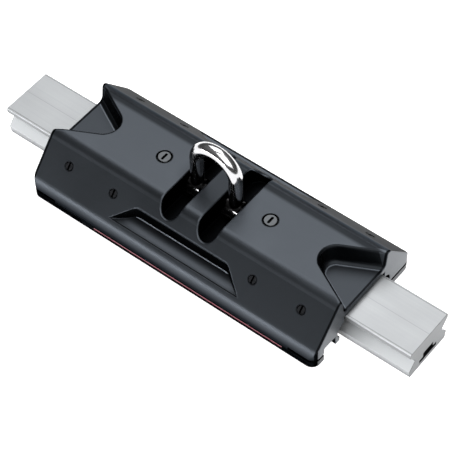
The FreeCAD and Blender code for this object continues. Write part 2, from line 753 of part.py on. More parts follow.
def make_race_plate(side):
    body = new_body("race_plate_" + SIDE_NAMES[side])
    corner = size("corner_round")
    notch_x = car_half - size("notch_depth")
    toe_y = rail_half + size("toe_clear")
    toe_in = turn_x + size("plate_clear")
    toe_out = pocket_end - size("plate_clear")
    sketch = new_sketch(body, "plate_plan", "XY_Plane", (plain(0), plain(0), under_z))
    corners = [
        (-(car_half - corner), -side_y),
        (car_half - corner, -side_y),
        (car_half, -(side_y - corner)),
        (car_half, -notch_out),
        (notch_x, -notch_out),
        (notch_x, -toe_y),
        (toe_in, -toe_y),
        (toe_in, -plate_in),
        (-toe_in, -plate_in),
        (-toe_in, -toe_y),
        (-toe_out, -toe_y),
        (-toe_out, -plate_in),
        (-car_half, -plate_in),
        (-car_half, -(side_y - corner)),
    ]
    arcs = {
        1: ((car_half - corner, -(side_y - corner)), corner),
        13: ((-(car_half - corner), -(side_y - corner)), corner),
    }
    add_outline(sketch, corners, arcs)
    pad(body, "plate", sketch, size("plate_thickness"), reverse=True)
    holes = new_sketch(body, "holes_plan", "XY_Plane", (plain(0), plain(0), under_z))
    sinks = new_sketch(body, "countersinks_plan", "XY_Plane", (plain(0), plain(0), plate_z))
    for x in plate_screw_places():
        add_circle(holes, (x, -plate_screw_y), plate_hole)
        add_circle(sinks, (x, -plate_screw_y), size("plate_head") / 2 + size("screw_gap"))
    pocket(body, "holes", holes, size("plate_thickness"))
    pocket(body, "countersinks", sinks, (size("plate_head") - size("plate_shank")) / 2,
           reverse=True, taper=plain(-45))
    line = new_sketch(body, "line_outline", "XZ_Plane", (plain(0), plain(0), side_y))
    middle = under_z - size("line_middle")
    add_box(line, size("line_setback") - car_half, middle - size("line_height") / 2,
            car_half - size("line_setback_far"), middle + size("line_height") / 2)
    pocket(body, "line_rebate", line, size("line_depth"))
    if side == FAR:
        half_turn(body)
    return body


def make_turn_guide(side, end):
    """The plastic guide that turns the balls between the loaded race and the return slot."""
    body = new_body("turn_guide_" + SIDE_NAMES[side] + "_" + END_NAMES[end])
    built_end = end if side == NEAR else -end
    play = size("guide_play")
    block_in = turn_x + play
    block_out = pocket_end - play
    block = new_sketch(body, "block_plan", "XY_Plane", (plain(0), plain(0), under_z))
    add_box(block, block_in * built_end, -(wall_y + play),
            block_out * built_end, -(pocket_side - play))
    pad(body, "block", block, pocket_roof - play - under_z)
    flange = new_sketch(body, "flange_plan", "XY_Plane", (plain(0), plain(0), under_z))
    inset = size("flange_inset")
    corner = size("corner_round") - inset
    flange_in = car_half - size("flange_run")
    flange_out = car_half - inset
    flange_side = side_y - inset
    corners = [
        (flange_in * built_end, -(slot_out + play)),
        (flange_in * built_end, -flange_side),
        ((flange_out - corner) * built_end, -flange_side),
        (flange_out * built_end, -(flange_side - corner)),
    ]
    arcs = {2: (((flange_out - corner) * built_end, -(flange_side - corner)), corner)}
    if built_end == RIGHT:
        corners += [(flange_out * built_end, -notch_out), (block_out * built_end, -notch_out)]
        corners += [(block_out * built_end, -plate_in)]
    else:
        corners += [(flange_out * built_end, -plate_in)]
    corners += [(block_in * built_end, -plate_in), (block_in * built_end, -(slot_out + play))]
    add_outline(flange, corners, arcs)
    pad(body, "flange", flange, size("flange_thickness"))
    channel = new_sketch(body, "channel_plan", "XY_Plane", (plain(0), plain(0), under_z))
    add_circle(channel, (turn_x * built_end, -turn_y), channel_radius)
    pocket(body, "channel", channel, return_roof - under_z, reverse=True)
    hole = new_sketch(body, "hole_plan", "XY_Plane", (plain(0), plain(0), under_z))
    add_circle(hole, (plate_screw_x * built_end, -plate_screw_y), plate_hole)
    pocket(body, "hole", hole, size("flange_thickness"), reverse=True)
    if side == FAR:
        half_turn(body)
    return body


def make_race_strip(side):
    body = new_body("race_strip_" + SIDE_NAMES[side])
    half = turn_x - size("strip_play")
    arc_y = race_y + root(race_radius * race_radius
                          - (strip_low - race_z) * (strip_low - race_z))
    top = strip_low + size("strip_height")
    sketch = new_sketch(body, "strip_section", "YZ_Plane", (plain(0), plain(0), -half))
    corners = [
        (-wall_y, top),
        (-wall_y, race_z + race_rise(wall_y)),
        (-arc_y, strip_low),
        (-strip_side, strip_low),
        (-strip_side, top),
    ]
    add_outline(sketch, corners, {1: ((-race_y, race_z), race_radius)})
    pad(body, "strip", sketch, half * 2)
    holes = facet_sketch(body, "holes_plan", NEAR)
    for x in strip_screw_places():
        add_circle(holes, (x, plain(0)), size("strip_shank") / 2 + size("screw_gap"))
    pocket(body, "holes", holes, size("strip_screw_length") + size("screw_gap"))
    if side == FAR:
        half_turn(body)
    return body


# The bail and its pin

def make_bail_pin():
    body = new_body("bail_pin")
    sketch = new_sketch(body, "pin_section", "YZ_Plane", (plain(0), plain(0), -pin_half))
    add_circle(sketch, (plain(0), pin_z), pin_radius)
    pad(body, "pin", sketch, pin_half * 2)
    holes = new_sketch(body, "holes_plan", "XY_Plane", (plain(0), plain(0), pin_z + pin_radius))
    for end in (LEFT, RIGHT):
        add_circle(holes, (size("pin_screw_x") * end, plain(0)),
                   size("pin_shank") / 2 + size("screw_gap"))
    pocket(body, "holes", holes, size("pin_diameter"))
    return body


def make_bail():
    """A round rod bent to an upright U, with an eye round the pin at the foot of each leg."""
    body = new_body("bail")
    rod = size("bail_rod") / 2
    leg_x = size("bail_spacing") / 2
    arch_z = rail_top + size("bail_top") - rod - leg_x
    centre = (plain(0), arch_z)
    path = new_sketch(body, "rod_path", "XZ_Plane")
    corners = [(-leg_x, pin_z), (-leg_x, arch_z), (plain(0), arch_z + leg_x),
               (leg_x, arch_z), (leg_x, pin_z)]
    add_outline(path, corners, {1: (centre, leg_x), 2: (centre, leg_x)}, closed=False)
    section = new_sketch(body, "rod_section", "XY_Plane", (plain(0), plain(0), pin_z))
    add_circle(section, (-leg_x, plain(0)), rod)
    DOC.recompute()
    bent = body.newObject("PartDesign::AdditivePipe", "rod")
    bent.Profile = section
    bent.Spine = (path, ["Edge1", "Edge2", "Edge3", "Edge4"])
    finish(body, bent)
    for end in (LEFT, RIGHT):
        start = leg_x * end - size("eye_width") / 2
        eye = new_sketch(body, "eye_" + END_NAMES[end] + "_outline", "YZ_Plane",
                         (plain(0), plain(0), start))
        add_circle(eye, (plain(0), pin_z), size("eye_diameter") / 2)
        pad(body, "eye_" + END_NAMES[end], eye, size("eye_width"))
    reach = leg_x + size("bail_rod")
    bore = new_sketch(body, "bore_outline", "YZ_Plane", (plain(0), plain(0), -reach))
    add_circle(bore, (plain(0), pin_z), pin_radius + size("pin_gap"))
    pocket(body, "bore", bore, reach * 2, reverse=True)
    return body


# Screws: each stands on its own axis with its head at the origin, then is placed

def make_screw(label, head, head_depth, shank, length, driver, sunk=False):
    """driver is the width and the depth of its slot, and the length when it has round ends."""
    body = new_body(label)
    head_radius = head / 2
    shank_radius = shank / 2
    chamfer = size("head_chamfer")
    profile = new_sketch(body, "profile", "XZ_Plane")
    if sunk:
        corners = [(plain(0), plain(0)), (head_radius, plain(0)),
                   (shank_radius, -(head_radius - shank_radius))]
    else:
        corners = [(plain(0), plain(0)), (head_radius - chamfer, plain(0)),
                   (head_radius, -chamfer), (head_radius, -head_depth),
                   (shank_radius, -head_depth)]
    corners += [(shank_radius, -length), (plain(0), -length)]
    add_outline(profile, corners)
    revolve(body, "turned", profile)
    plan = new_sketch(body, "driver_plan", "XY_Plane")
    if len(driver) > 2:
        add_round_slot(plan, plain(0), driver[0] / 2, driver[2] / 2)
    else:
        add_box(plan, -driver[0] / 2, -head, driver[0] / 2, head)
    pocket(body, "driver", plan, driver[1])
    return body


def place_body(body, place, tilt=None):
    if tilt is not None:
        body.Placement = FreeCAD.Placement(FreeCAD.Vector(),
                                           FreeCAD.Rotation(ALONG, number(tilt)))
        bind(body, "Placement.Rotation.Angle", tilt)
    for axis, length in zip("xyz", place):
        bind(body, "Placement.Base." + axis, length)


def make_pin_screw(end):
    driver = (size("big_driver_width"), size("big_driver_depth"), size("big_driver_length"))
    body = make_screw("pin_screw_" + END_NAMES[end], size("pin_head"), size("pin_head_depth"),
                      size("pin_shank"), size("pin_screw_length"), driver)
    place_body(body, (size("pin_screw_x") * end, plain(0), deck_z))
    return body


def make_strip_screw(side, index, x):
    body = make_screw("strip_screw_" + SIDE_NAMES[side] + "_" + str(index + 1),
                      size("strip_head"), size("strip_head_depth"), size("strip_shank"),
                      size("strip_screw_length"), (size("driver_width"), size("driver_depth")))
    place_body(body, (x, facet_place * side, facet_height(facet_place)), facet_tilt * -side)
    return body


def make_plate_screws(side):
    """The five countersunk screws under one race plate, as one piece."""
    label = "plate_screws_" + SIDE_NAMES[side]
    driver = (size("driver_width"), size("driver_depth"))
    screw = make_screw(label + "_one", size("plate_head"), plain(0), size("plate_shank"),
                       size("plate_screw_length"), driver, sunk=True)
    place_body(screw, (plain(0), plate_screw_y * side, plate_z), plain(180))
    DOC.recompute()
    row = DOC.addObject("Part::Feature", label)
    row.Label = label
    row.Shape = Part.makeCompound([
        screw.Shape.translated(FreeCAD.Vector(number(x), 0, 0)) for x in plate_screw_places()])
    return row


# The balls

def make_ball():
    """One many-sided ball about the origin: flat rings of corners joined by flat faces."""
    radius = number(ball_radius)
    rings = []
    for height in BALL_RINGS:
        lean = math.radians(height)
        turns = [2 * math.pi * step / BALL_SIDES for step in range(BALL_SIDES)]
        rings.append([FreeCAD.Vector(radius * math.cos(lean) * math.cos(turn),
                                     radius * math.cos(lean) * math.sin(turn),
                                     radius * math.sin(lean)) for turn in turns])
    rounds = [rings[0], rings[-1]]
    for low, high in zip(rings, rings[1:]):
        for step in range(BALL_SIDES):
            after = (step + 1) % BALL_SIDES
            rounds.append([low[step], low[after], high[after], high[step]])
    faces = [Part.Face(Part.makePolygon(corners + corners[:1])) for corners in rounds]
    return Part.makeSolid(Part.makeShell(faces))


def ball_places():
    """Centres round one circuit: two straight rows and one ball in the middle of each turn."""
    step = size("ball_diameter") + size("ball_play")
    apex = turn_x + turn_radius
    row_half = number(apex - root(step * step - turn_radius * turn_radius))
    count = int(row_half * 2 / number(step) + 0.01) + 1
    pitch = row_half * 2 / (count - 1)
    height = number(race_z)
    places = [FreeCAD.Vector(-row_half + pitch * index, number(y), height)
              for y in (race_y, return_y) for index in range(count)]
    places += [FreeCAD.Vector(number(apex) * end, number(turn_y), height)
               for end in (LEFT, RIGHT)]
    return places


def make_ball_train(side, ball):
    label = "ball_train_" + SIDE_NAMES[side]
    train = DOC.addObject("Part::Feature", label)
    train.Label = label
    train.Shape = Part.makeCompound([
        ball.translated(FreeCAD.Vector(place.x, place.y * side, place.z))
        for place in ball_places()])
    return train


def main():
    nodes = [make_rail(), make_car_body(), make_bail_pin(), make_bail()]
    for side in (NEAR, FAR):
        nodes.append(make_race_plate(side))
        nodes.append(make_race_strip(side))
        for end in (LEFT, RIGHT):
            nodes.append(make_turn_guide(side, end))
        for index, x in enumerate(strip_screw_places()):
            nodes.append(make_strip_screw(side, index, x))
        nodes.append(make_plate_screws(side))
    for end in (LEFT, RIGHT):
        nodes.append(make_pin_screw(end))
    ball = make_ball()
    for side in (NEAR, FAR):
        nodes.append(make_ball_train(side, ball))
    DOC.recompute()
    for thing in DOC.Objects:
        if "Invalid" in thing.State or "Error" in thing.State:
            raise RuntimeError(thing.Name + " is " + str(thing.State))
    os.makedirs("parts", exist_ok=True)
    for node in nodes:
        if node.Shape.isNull() or not node.Shape.isValid():
            raise RuntimeError(node.Label + " has no valid shape")
        node.Shape.exportStep("parts/" + node.Label + ".step")
        print(node.Label, len(node.Shape.Solids), round(node.Shape.Volume, 1))


main()
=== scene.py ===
import math
from collections import namedtuple

import bmesh
import bpy
from bpy.props import FloatProperty, FloatVectorProperty, IntProperty, PointerProperty
from mathutils import Matrix, Quaternion, Vector


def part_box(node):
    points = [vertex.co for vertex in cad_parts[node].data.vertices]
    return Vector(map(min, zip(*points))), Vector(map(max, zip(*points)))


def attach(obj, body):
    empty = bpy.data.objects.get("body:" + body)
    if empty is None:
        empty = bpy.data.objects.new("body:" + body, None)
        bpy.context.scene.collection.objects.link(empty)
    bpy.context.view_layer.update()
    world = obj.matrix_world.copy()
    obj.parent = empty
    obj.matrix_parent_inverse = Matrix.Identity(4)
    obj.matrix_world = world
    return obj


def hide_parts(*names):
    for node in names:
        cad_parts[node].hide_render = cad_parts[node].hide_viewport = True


bl_info = {
    "name": "Track car looks",
    "version": (1, 0, 0),
    "blender": (4, 5, 0),
    "location": "3D View > Sidebar > Track Car",
    "description": "Dresses a packed track car in its finishes and sets its studio",
    "category": "Object",
}

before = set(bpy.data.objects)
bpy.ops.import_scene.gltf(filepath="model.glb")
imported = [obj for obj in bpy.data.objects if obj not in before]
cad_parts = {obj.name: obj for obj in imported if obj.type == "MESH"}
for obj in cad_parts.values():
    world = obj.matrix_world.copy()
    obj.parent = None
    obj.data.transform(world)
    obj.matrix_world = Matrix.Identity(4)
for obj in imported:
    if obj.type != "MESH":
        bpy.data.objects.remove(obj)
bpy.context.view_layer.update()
MILLIMETRE = 0.001


def millimetres(*sizes):
    """Sizes in metres, from sizes in millimetres."""
    return tuple(size * MILLIMETRE for size in sizes)


CAR_BODY = "car"
PLATE_NODES = ["race_plate_near", "race_plate_far"]
STRIP_NODES = ["race_strip_near", "race_strip_far"]
GUIDE_NODES = [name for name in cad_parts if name.startswith("turn_guide")]
PIN_SCREW_NODES = ["pin_screw_left", "pin_screw_right"]
SMALL_SCREW_NODES = [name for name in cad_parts
                     if "screw" in name and name not in PIN_SCREW_NODES]

# The values below give the place and the look of each feature that is dressed by its
# place. Along is the distance from the middle of the length, across the distance from
# the middle of the width, and height the distance from the rail's underside. A tilt is
# how far a face looks up: 1 where it is level and 0 where it is upright. A fade goes
# from the place where a mark starts to the place where it is full. A shade is a factor
# on the finish's own colour, a share is how strongly a mark is laid over it, and a
# shine is how much of its shine a face keeps at a glancing angle.

# The slots that the bail's legs swing in, with painted shade on their walls and floors,
# which also lose nearly all their shine
SLOT_ALONG = millimetres(5.6, 18.4)
SLOT_REACH = 28.0 * MILLIMETRE
SLOT_BOTTOM = 21.0 * MILLIMETRE
SLOT_FLOOR = 23.0 * MILLIMETRE
SLOT_WALL_TILT = (-0.45, 0.45)
SLOT_PAINTED_SHADE = 0.05
SLOT_SHINE = 0.02

# The saddle of the deck between the slots, with painted shade under the bail that grows
# darker towards the middle
SADDLE_HALF_LENGTH = 5.7 * MILLIMETRE
SADDLE_FADE = millimetres(19.0, 9.0)
SADDLE_PAINTED_SHADE = 0.5

# The far shoulder: the fades and shades of a painted reflection, first a dull band of
# painted shade and then a painted highlight on its crease, on faces that look up more
# than the tilt
SHOULDER_TILT = 0.5
SHOULDER_PAINTED_REFLECTION = (
    (millimetres(13.4, 15.4), 0.33),
    (millimetres(17.6, 19.4), 1.9),
)

# The sloping facets in painted shade, and the rings of open counterbore round their
# small screws, in painted shade that also takes most of their shine
FACET_START = 23.5 * MILLIMETRE
FACET_TILT = (0.6, 0.72)
FACET_PAINTED_SHADE = 0.76
FACET_SCREWS = (millimetres(75.4, 28.9, 24.2), millimetres(45.3, 28.9, 24.2))
RING_RADIUS = 2.9 * MILLIMETRE
RING_PAINTED_SHADE = 0.3
RING_SHINE = 0.03

# The skirt, in painted shade that grows darker towards its foot
SKIRT_START = 36.0 * MILLIMETRE
SKIRT_FADE = millimetres(12.0, 7.5)
SKIRT_PAINTED_SHADE = 0.33

# The scoop in each end: the heights, tilts and shade of the painted shade on its floor
# and on its walls, and of the painted highlight along their foot
SCOOP_START = 60.0 * MILLIMETRE
SCOOP_HALF_WIDTH = 17.0 * MILLIMETRE
SCOOP_PAINTED_PATCHES = (
    (millimetres(22.5, 24.0), (0.9, 1.1), 0.7),
    (millimetres(23.05, 34.3), (-0.1, 0.985), 0.3),
    (millimetres(23.01, 23.11), (0.5, 0.999), 1.6),
)

# The recess in each side, all painted light: a painted highlight on the ledge, a floor
# painted from shade to light outwards and a lip in painted shade
RECESS_HALF_LENGTH = 41.0 * MILLIMETRE
RECESS_ACROSS = millimetres(28.7, 37.3)
RECESS_HEIGHT = millimetres(5.6, 17.1)
RECESS_LEDGE_WIDTH = 0.75 * MILLIMETRE
RECESS_LEDGE_HIGHLIGHT = 7.0
RECESS_FLOOR_INSET = 1.2 * MILLIMETRE
RECESS_FLOOR_PAINTED_LIGHT = (0.15, 1.35)
RECESS_LIP_WIDTH = 0.7 * MILLIMETRE
RECESS_LIP_PAINTED_SHADE = 0.1

# Painted shade on the upright and slanted walls round the recess, which also lose most
# of their shine
RECESS_WALL_HALF_LENGTH = 43.0 * MILLIMETRE
RECESS_WALL_ACROSS = millimetres(28.4, 37.6)
RECESS_WALL_HEIGHT = millimetres(8.0, 23.4)
RECESS_WALL_TILT = (-0.3, 0.4)
RECESS_WALL_PAINTED_SHADE = 0.1
RECESS_WALL_SHINE = 0.12

# The faced ends of the carriage, made lighter with painted light, and the line of
# painted shade round them
END_DEPTH = 0.3 * MILLIMETRE
END_PAINTED_LIGHT = 1.2
END_SHINE = 1.0
END_LINE_WIDTH = 1.1 * MILLIMETRE
END_LINE_PAINTED_SHADE = 0.12

# Painted shade along the open seam over the ends of each lower plate
SEAM_START = 76.5 * MILLIMETRE
SEAM_INSIDE = 25.0 * MILLIMETRE
SEAM_HEIGHT = millimetres(5.4, 6.9)
SEAM_PAINTED_SHADE = 0.06

# The anodised skin as a whole: its clouds, its edges lighter with wear and a painted
# highlight, and painted shade in its sheltered corners
SKIN_SHADES = (0.9, 1.1)
SKIN_STREAKS = 0.35
WORN_AND_HIGHLIGHT_SHARE = 0.3
WORN_AND_HIGHLIGHT_SHADE = 2.0
SHELTER_REACH = 9.0 * MILLIMETRE
SHELTER_PAINTED_SHADE = 0.15

# The rail: its die lines and scribed lines, painted shade on its upright sides,
# sheltered corners, hollow and cut ends, and painted light on its slopes
RAIL_SHADES = (0.95, 1.04)
RAIL_DIE_SHARE = 0.12
RAIL_DIE_SHADE = 0.8
RAIL_DIE_RELIEF = 0.3
RAIL_GRAIN_RELIEF = 0.5
RAIL_UPRIGHT_TILT = (-0.15, 0.15)
RAIL_UPRIGHT_PAINTED_SHADE = 0.62
RAIL_SLOPE_TILT = (0.3, 0.95)
RAIL_SLOPE_PAINTED_LIGHT = 1.5
RAIL_SIDE_LINE = 14.9 * MILLIMETRE
RAIL_MIDDLE_LINE_SHARE = 0.45
RAIL_LINE_SHARE = 0.5
RAIL_LINE_SHADE = 0.3
RAIL_TOP_DEPTH = 0.1 * MILLIMETRE
RAIL_SHELTER_PAINTED_SHADE = 0.08
RAIL_HOLLOW_HEIGHT = millimetres(2.4, 8.7)
RAIL_HOLLOW_HALF_WIDTH = 7.5 * MILLIMETRE
RAIL_HOLLOW_PAINTED_SHADE = 0.05
RAIL_END_DEPTH = 0.2 * MILLIMETRE
RAIL_END_PAINTED_SHADE = 0.5

# The bail's eyes, in painted shade laid by two fades: down into the slots, and back
# from the front
EYE_SINK = millimetres(35.0, 32.5)
EYE_BACK = millimetres(-4.6, -4.0)
EYE_PAINTED_SHADE = 0.06

# The screws
SCREW_ROUGHNESS = 0.38
SCREW_SHADES = (0.85, 1.2)
SCREW_RUBBED_SHARE = 0.6
# Painted shade in the driver of each screw
SCREW_DRIVER_PAINTED_SHADE = 0.03

# The enamel, and half the width of its pale line of painted highlight as a share of the
# stripe's height
ENAMEL_ROUGHNESS = 0.4
ENAMEL_HIGHLIGHT_HALF = 0.17

# The range that most of a noise lies in, how far a rounded edge turns the normal, and
# how many rays look for edges and neighbours
NOISE_RANGE = (0.3, 0.7)
EDGE_RANGE = (1.0, 0.93)
SEARCH_RAYS = 6

# The colour sockets of a mix node, which share their names with its other sockets
MIX_FIRST, MIX_SECOND, MIX_RESULT = 6, 7, 2


# Settings that a user would change

class BodySettings(bpy.types.PropertyGroup):
    """The black anodised finish of the carriage and its plates."""

    colour: FloatVectorProperty(
        name="Colour", description="Colour of the anodised skin", subtype="COLOR",
        size=3, min=0, max=1, default=(0.050, 0.056, 0.064))
    roughness: FloatProperty(
        name="Roughness", description="How matt the anodised skin is", subtype="FACTOR",
        min=0, max=1, default=0.34)
    rim_shine: FloatProperty(
        name="Rim shine", description="Share of its shine that the skin keeps at a "
        "glancing angle", subtype="FACTOR", min=0, max=1, default=0.29)
    grain: FloatProperty(
        name="Grain", description="Width of the blasted grain", unit="LENGTH",
        default=0.35 * MILLIMETRE)
    # Its edges are lighter with wear and a painted highlight
    edge: FloatProperty(
        name="Edge wear and highlight", description="Width of the rounded line along each edge",
        unit="LENGTH", default=0.8 * MILLIMETRE)
    plate_shade: FloatProperty(
        name="Plates", description="How light the lower plates are beside the carriage",
        subtype="FACTOR", min=0, max=1, default=0.35)


class RailSettings(bpy.types.PropertyGroup):
    """The clear anodised finish of the rail."""

    colour: FloatVectorProperty(
        name="Colour", description="Colour of the clear anodised rail", subtype="COLOR",
        size=3, min=0, max=1, default=(0.362, 0.373, 0.382))
    roughness: FloatProperty(
        name="Roughness", description="How matt the rail is", subtype="FACTOR",
        min=0, max=1, default=0.50)
    line_width: FloatProperty(
        name="Lines", description="Width of the lines scribed along the top",
        unit="LENGTH", default=0.45 * MILLIMETRE)


class SteelSettings(bpy.types.PropertyGroup):
    """The polished steel of the bail and its pin, and the blackened screws."""

    colour: FloatVectorProperty(
        name="Polished steel", description="Colour of the polished steel",
        subtype="COLOR", size=3, min=0, max=1, default=(0.48, 0.48, 0.49))
    roughness: FloatProperty(
        name="Polish", description="How matt the polished steel is", subtype="FACTOR",
        min=0, max=1, default=0.12)
    pin_screw_colour: FloatVectorProperty(
        name="Pin screws", description="Colour of the two large screws",
        subtype="COLOR", size=3, min=0, max=1, default=(0.085, 0.09, 0.095))
    screw_colour: FloatVectorProperty(
        name="Small screws", description="Colour of the blackened small screws",
        subtype="COLOR", size=3, min=0, max=1, default=(0.022, 0.023, 0.025))


class StripeSettings(bpy.types.PropertyGroup):
    """The red pinstripe let into the side of each lower plate."""

    colour: FloatVectorProperty(
        name="Colour", description="Colour of the enamel", subtype="COLOR",
        size=3, min=0, max=1, default=(0.15, 0.013, 0.024))
    # The pale line along the middle is a painted highlight
    highlight_line_colour: FloatVectorProperty(
        name="Line", description="Colour of the pale line along the middle",
        subtype="COLOR", size=3, min=0, max=1, default=(0.30, 0.085, 0.115))
    height: FloatProperty(
        name="Height", description="Height of the stripe", unit="LENGTH",
        default=1.15 * MILLIMETRE)
    thickness: FloatProperty(
        name="Thickness", description="Thickness of the enamel", unit="LENGTH",
        default=0.28 * MILLIMETRE)


class BallSettings(bpy.types.PropertyGroup):
    """The bearing balls and the plastic that turns them."""

    diameter: FloatProperty(
        name="Diameter", description="Diameter of a ball", unit="LENGTH",
        default=9.5 * MILLIMETRE)
    segments: IntProperty(
        name="Segments", description="Sides round each ball", min=12, max=48,
        default=24)
    colour: FloatVectorProperty(
        name="Balls", description="Colour of the balls", subtype="COLOR",
        size=3, min=0, max=1, default=(0.62, 0.60, 0.54))
    guide_colour: FloatVectorProperty(
        name="Guides", description="Colour of the turn guides", subtype="COLOR",
        size=3, min=0, max=1, default=(0.018, 0.018, 0.019))


class StageSettings(bpy.types.PropertyGroup):
    """The floor, the lights and the camera."""

    azimuth: FloatProperty(
        name="Azimuth", description="Camera's turn round the object, from its near "
        "side", subtype="ANGLE", default=math.radians(39.715))
    elevation: FloatProperty(
        name="Elevation", description="Camera's height above the horizon",
        subtype="ANGLE", default=math.radians(51.926))
    roll: FloatProperty(
        name="Roll", description="Camera's lean", subtype="ANGLE",
        default=math.radians(-1.861))
    distance: FloatProperty(
        name="Distance", description="Camera to the point that it looks at",
        unit="LENGTH", default=0.9567)
    lens: FloatProperty(
        name="Lens", description="Focal length of the lens in millimetres",
        unit="CAMERA", default=149.94)
    target: FloatVectorProperty(
        name="Target", description="Point that the camera looks at",
        subtype="TRANSLATION", size=3, default=(0.0108, -0.0074, 0.0195))
    floor_colour: FloatVectorProperty(
        name="Floor", description="Colour of the floor", subtype="COLOR",
        size=3, min=0, max=1, default=(0.9, 0.9, 0.9))
    floor_glow: FloatProperty(
        name="Floor glow", description="How strongly the floor glows, as a light table "
        "does", min=0, default=0.95)
    walls: FloatProperty(
        name="Walls", description="Brightness of the room at the horizon", min=0,
        default=0.10)
    ceiling: FloatProperty(
        name="Ceiling", description="Brightness of the room overhead", min=0,
        default=0.26)


# Nodes

def add_node(material, kind, **settings):
    """A new node of the given kind, with its settings made."""
    node = material.node_tree.nodes.new(kind)
    for name, value in settings.items():
        setattr(node, name, value)
    return node


def link(material, output, socket):
    """Feed a socket from the output of another node."""
    material.node_tree.links.new(output, socket)


def fill(material, socket, value):
    """Feed a socket from another node, or set it to a plain value."""
    if isinstance(value, bpy.types.NodeSocket):
        link(material, value, socket)
    else:
        socket.default_value = value


def new_material(name, colour, roughness, metallic):
    """A material and its shader, with the plain values set on the shader itself."""
    material = bpy.data.materials.new(name)
    material.use_nodes = True
    shader = material.node_tree.nodes["Principled BSDF"]
    shader.inputs["Base Color"].default_value = (*colour, 1)
    shader.inputs["Roughness"].default_value = roughness
    shader.inputs["Metallic"].default_value = metallic
    material.diffuse_color = (*colour, 1)
    return material, shader


def shade_of(colour, factor):
    """The colour made darker or lighter by the factor."""
    return (*(min(1.0, channel * factor) for channel in colour), 1)


def grey(level):
    """A grey of the given level."""
    return (level, level, level, 1)


def noise(material, size, detail, stretch=(1, 1, 1)):
    """A noise fixed to the object, whose blots are about the given size in metres."""
    where = add_node(material, "ShaderNodeTexCoord")
    mapping = add_node(material, "ShaderNodeMapping")
    mapping.inputs["Scale"].default_value = stretch
    link(material, where.outputs["Object"], mapping.inputs["Vector"])
    texture = add_node(material, "ShaderNodeTexNoise")
    texture.inputs["Scale"].default_value = 1 / size
    texture.inputs["Detail"].default_value = detail
    link(material, mapping.outputs["Vector"], texture.inputs["Vector"])
    return texture.outputs["Fac"]


def map_range(material, value, source, target=(0.0, 1.0)):
    """The value brought from one range to another, and kept inside it."""
    node = add_node(material, "ShaderNodeMapRange")
    limits = zip(("From Min", "From Max", "To Min", "To Max"), (*source, *target))
    for name, limit in limits:
        node.inputs[name].default_value = limit
    link(material, value, node.inputs["Value"])
    return node.outputs["Result"]


def spread(material, pattern, low, high):
    """A noise's usual range brought to the range from low to high."""
    return map_range(material, pattern, NOISE_RANGE, (low, high))


def math_node(material, operation, *values):
    """The result of a sum or a test of plain values and outputs."""
    node = add_node(material, "ShaderNodeMath", operation=operation)
    for socket, value in zip(node.inputs, values):
        fill(material, socket, value)
    return node.outputs["Value"]


def above(material, value, limit):
    """1 where the value is over the limit."""
    return math_node(material, "GREATER_THAN", value, limit)


def below(material, value, limit):
    """1 where the value is under the limit."""
    return math_node(material, "LESS_THAN", value, limit)


def between(material, value, low, high):
    """1 where the value lies from low to high."""
    return math_node(material, "COMPARE", value, (low + high) / 2, (high - low) / 2)


def overlap(material, *masks):
    """1 where every mask is 1."""
    shared, *others = masks
    for mask in others:
        shared = math_node(material, "MULTIPLY", shared, mask)
    return shared


def coordinate(material, kind, axis):
    """One axis of a kind of coordinate, such as a point's place on the object."""
    where = add_node(material, "ShaderNodeTexCoord")
    parts = add_node(material, "ShaderNodeSeparateXYZ")
    link(material, where.outputs[kind], parts.inputs["Vector"])
    return parts.outputs[axis]


Place = namedtuple("Place", "along across far height tilt")


def place_on_object(material):
    """Where a point lies and how far its face looks up. Along and across are distances
    from the middle planes; far is across too, but negative on the near side."""
    x, y, z = (coordinate(material, "Object", axis) for axis in "XYZ")
    return Place(along=math_node(material, "ABSOLUTE", x),
                 across=math_node(material, "ABSOLUTE", y),
                 far=y, height=z, tilt=coordinate(material, "Normal", "Z"))


def mix_colours(material, factor, first, second):
    """first where the factor is 0 and second where it is 1, as colours or outputs."""
    node = add_node(material, "ShaderNodeMix", data_type="RGBA")
    link(material, factor, node.inputs["Factor"])
    fill(material, node.inputs[MIX_FIRST], first)
    fill(material, node.inputs[MIX_SECOND], second)
    return node.outputs[MIX_RESULT]


def varied(material, colour, pattern, dark, light):
    """The colour, going from one of its shades to another with a noise."""
    return mix_colours(material, spread(material, pattern, 0, 1),
                       shade_of(colour, dark), shade_of(colour, light))


def lay_coats(material, colour, skin, coats):
    """The skin with each coat laid over it in turn, where the coat's mask is 1.

    A coat is a shade of the colour, or the output of another node."""
    for mask, coat in coats:
        if isinstance(coat, float):
            coat = shade_of(colour, coat)
        skin = mix_colours(material, mask, skin, coat)
    return skin


def vary_roughness(material, shader, pattern, roughness, less, more):
    """Let the roughness follow a noise, from so much less to so much more."""
    rough = spread(material, pattern, roughness - less, roughness + more)
    link(material, rough, shader.inputs["Roughness"])


def bump(material, shader, relief, depth, strength, normal=None):
    """Raise the surface by a relief, on top of a rounded normal where one is given."""
    node = add_node(material, "ShaderNodeBump")
    node.inputs["Strength"].default_value = strength
    node.inputs["Distance"].default_value = depth
    link(material, relief, node.inputs["Height"])
    if normal is not None:
        link(material, normal, node.inputs["Normal"])
    link(material, node.outputs["Normal"], shader.inputs["Normal"])


def soft_edges(material, radius):
    """A normal rounded at the edges, and how near each point is to an edge."""
    rounded = add_node(material, "ShaderNodeBevel", samples=SEARCH_RAYS)
    rounded.inputs["Radius"].default_value = radius
    surface = add_node(material, "ShaderNodeNewGeometry")
    turn = add_node(material, "ShaderNodeVectorMath", operation="DOT_PRODUCT")
    link(material, rounded.outputs["Normal"], turn.inputs[0])
    link(material, surface.outputs["Normal"], turn.inputs[1])
    edge = map_range(material, turn.outputs["Value"], EDGE_RANGE)
    return rounded.outputs["Normal"], edge


